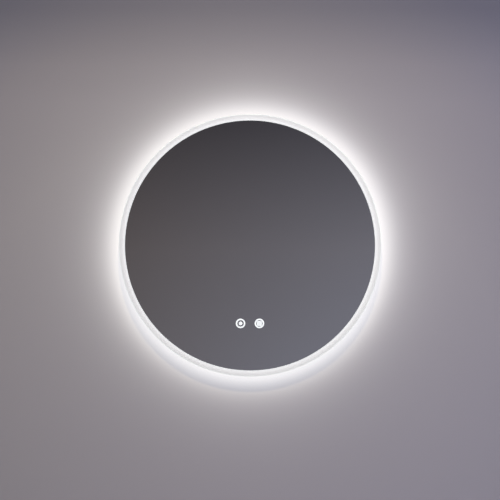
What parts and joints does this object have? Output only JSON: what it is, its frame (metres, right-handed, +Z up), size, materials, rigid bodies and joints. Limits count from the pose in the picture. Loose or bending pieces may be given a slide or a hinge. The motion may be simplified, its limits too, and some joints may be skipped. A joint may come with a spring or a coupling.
{
  "type": "lighted bathroom mirror",
  "caption": "Round wall mirror lit from behind: clear light band, opal side ring and back pan hung on a wall rail, with touch keys in the glass.",
  "frame": {"origin": "on the wall plane, midway between the two screw slots of the wall rail, 140 mm above the mirror's axis", "axes": "+Z up, the mirror faces -Y with +X to the viewer's right, and the wall is the plane y = 0"},
  "size_m": [0.5999, 0.04, 0.6],
  "materials": {
    "clear_glass": "polished float glass, sandblasted on the back of the outer band",
    "silvering": "silvered, grey backing paint behind",
    "opal_plastic": "opal diffusing plastic, lit from inside",
    "rolled_aluminium": "mill finish extrusion",
    "pan_steel": "white powder coat, fine texture",
    "rail_steel": "zinc plated strip",
    "screw_steel": "zinc plated",
    "foam_tape": "closed-cell foam",
    "black_rubber": "moulded rubber",
    "moulded_grey": "moulded flame-retardant plastic",
    "driver_case": "moulded plastic case",
    "white_board": "flexible board, white",
    "lamp_chip": "phosphor over white body",
    "circuit_board": "green solder mask",
    "brass": "tinned or plain brass",
    "coil_tape": "winding tape",
    "can_sleeve": "shrink sleeve",
    "heating_film": "polyester film",
    "heating_track": "etched foil",
    "lead_sheath": "flexible plastic sheath",
    "earth_sheath": "flexible plastic sheath"
  },
  "bodies": {
    "wall_mount": {"wall_rail": "rail_steel"},
    "mirror": {"back_pan": "pan_steel", "bond_tape": "foam_tape", "box_lid": "moulded_grey", "clamp_screw": "screw_steel", "cord_clamp": "moulded_grey", "demister_connector": "moulded_grey", "demister_film": "heating_film", "demister_track": "heating_track", "driver_base": "driver_case", "driver_board": "circuit_board", "driver_capacitor": "can_sleeve", "driver_lid": "driver_case", "driver_pads": "foam_tape", "driver_transformer": "coil_tape", "earth_receptacle": "brass", "earth_tab": "brass", "frame_joiner": "rolled_aluminium", "grommets": "black_rubber", "hanger_rail": "rail_steel", "icon_diffusers": "opal_plastic", "lead_clips": "moulded_grey", "lead_demister": "lead_sheath", "lead_earth": "earth_sheath", "lead_lamps": "lead_sheath", "lead_mains": "lead_sheath", "lead_touch": "lead_sheath", "led_chips": "lamp_chip", "led_connector": "moulded_grey", "led_strip_board": "white_board", "lid_screws": "screw_steel", "light_frame": "rolled_aluminium", "mirror_glass": "clear_glass", "opal_diffuser": "opal_plastic", "pan_screws": "screw_steel", "silver_coat": "silvering", "terminal_body": "moulded_grey", "terminal_cages": "brass", "touch_board": "circuit_board", "touch_gasket": "foam_tape", "touch_housing": "moulded_grey", "touch_leds": "lamp_chip", "touch_wells": "foam_tape", "wall_bumpers": "black_rubber", "wiring_box": "moulded_grey"}
  },
  "joints": [
    {"name": "lift_off", "type": "slide", "parent": "wall_mount", "child": "mirror", "axis": [0, 0, 1], "range_m": [0, 0.013]}
  ]
}
